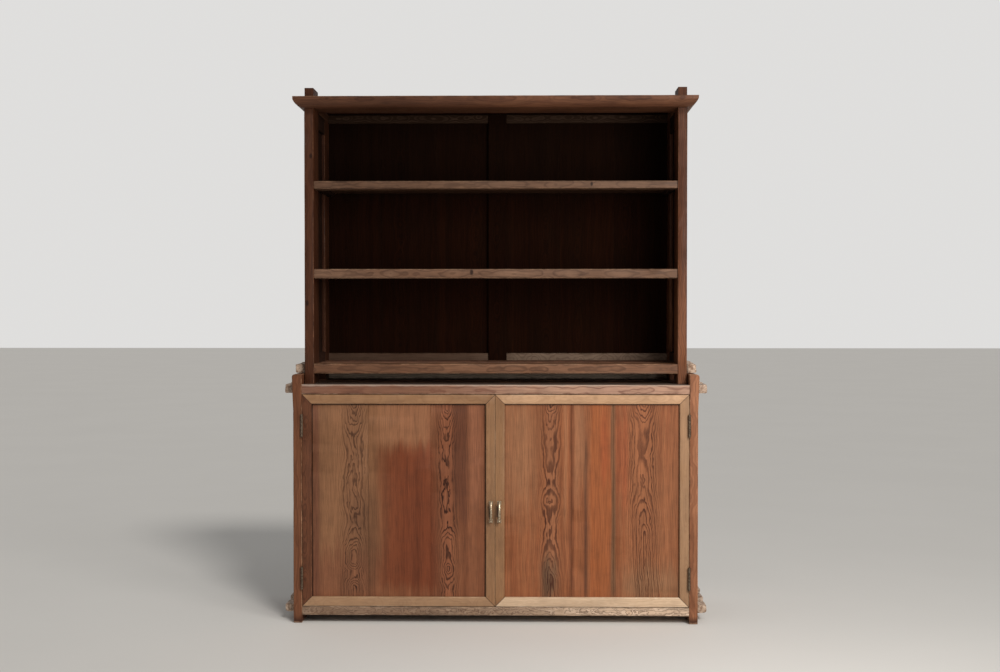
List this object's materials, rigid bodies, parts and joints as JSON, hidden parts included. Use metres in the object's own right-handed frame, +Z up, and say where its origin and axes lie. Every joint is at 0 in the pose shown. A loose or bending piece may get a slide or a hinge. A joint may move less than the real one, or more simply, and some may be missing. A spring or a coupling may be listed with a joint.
{
  "type": "kitchen cabinet",
  "caption": "Japanese mizuya kitchen cabinet: an open shelved section with a moulded top stands loose on a base with hinged, panelled doors and bow handles.",
  "frame": {"origin": "on the floor, in the middle of the whole cabinet's bounding box, through tenons and handles included", "axes": "+X to the viewer's right when facing the doors, +Y back through the cabinet to its rear face, +Z up"},
  "size_m": [1.3, 0.4166, 1.6114],
  "materials": {
    "handle_brass": "old brass, brown in the hollows",
    "hinge_metal": "dark old brass",
    "screw_steel": "dulled steel",
    "door_panel_wood": "stained red-brown, waxed",
    "door_frame_wood": "worn tan, waxed",
    "inner_wood": "plain, dry",
    "cornice_wood": "stained dark brown, waxed",
    "shelf_wood": "stained brown, waxed",
    "back_wood": "dark stain, dull",
    "side_panel_wood": "stained brown, dull",
    "post_wood": "stained red-brown, worn on the edges",
    "rail_wood": "stained brown, worn on the edges"
  },
  "bodies": {
    "base": {"base_back_boards": "back_wood", "base_back_muntin": "back_wood", "base_floor_boards": "inner_wood", "base_front_bottom_rail": "rail_wood", "base_front_left_post": "post_wood", "base_front_right_post": "post_wood", "base_front_top_rail": "rail_wood", "base_middle_bottom_bearer": "rail_wood", "base_middle_top_bearer": "rail_wood", "base_rear_bottom_rail": "rail_wood", "base_rear_posts": "post_wood", "base_rear_top_rail": "rail_wood", "base_shelf_boards": "inner_wood", "base_shelf_cleats": "inner_wood", "base_side_panels": "side_panel_wood", "base_side_rails": "rail_wood", "base_top_boards": "inner_wood", "door_stop_strip": "inner_wood", "hinge_pins": "hinge_metal", "hinge_post_leaves": "hinge_metal", "hinge_post_screws": "screw_steel"},
    "left_door": {"left_door_hinge_stile": "door_frame_wood", "left_door_meeting_stile": "door_frame_wood", "left_door_rails": "door_frame_wood", "left_door_panel_boards": "door_panel_wood", "left_door_battens": "inner_wood", "left_door_handle": "handle_brass", "left_door_handle_bolts": "screw_steel", "left_door_hinge_leaves": "hinge_metal", "left_door_hinge_screws": "screw_steel"},
    "right_door": {"right_door_hinge_stile": "door_frame_wood", "right_door_meeting_stile": "door_frame_wood", "right_door_rails": "door_frame_wood", "right_door_panel_boards": "door_panel_wood", "right_door_battens": "inner_wood", "right_door_handle": "handle_brass", "right_door_handle_bolts": "screw_steel", "right_door_hinge_leaves": "hinge_metal", "right_door_hinge_screws": "screw_steel"},
    "upper_section": {"ceiling_boards": "cornice_wood", "cornice_returns": "cornice_wood", "front_cornice": "cornice_wood", "shelf_boards": "shelf_wood", "shelf_cleats": "shelf_wood", "shelf_front_rails": "shelf_wood", "upper_back_boards": "back_wood", "upper_back_bottom_rail": "back_wood", "upper_back_muntin": "back_wood", "upper_back_top_rail": "back_wood", "upper_floor_boards": "shelf_wood", "upper_front_bottom_rail": "rail_wood", "upper_front_left_post": "post_wood", "upper_front_right_post": "post_wood", "upper_middle_bearer": "rail_wood", "upper_rear_bottom_rail": "rail_wood", "upper_rear_posts": "post_wood", "upper_side_panels": "side_panel_wood", "upper_side_rails": "rail_wood"}
  },
  "joints": [
    {"name": "left_door_hinge", "type": "hinge", "parent": "base", "child": "left_door", "pos_m": [-0.5796, -0.1901, 0.365], "axis": [0, 0, -1], "range_deg": [0, 170]},
    {"name": "right_door_hinge", "type": "hinge", "parent": "base", "child": "right_door", "pos_m": [0.5796, -0.1901, 0.365], "axis": [0, 0, 1], "range_deg": [0, 170]},
    {"name": "upper_section_lift", "type": "slide", "parent": "base", "child": "upper_section", "axis": [0, 0, 1], "range_m": [0, 0.1]}
  ]
}
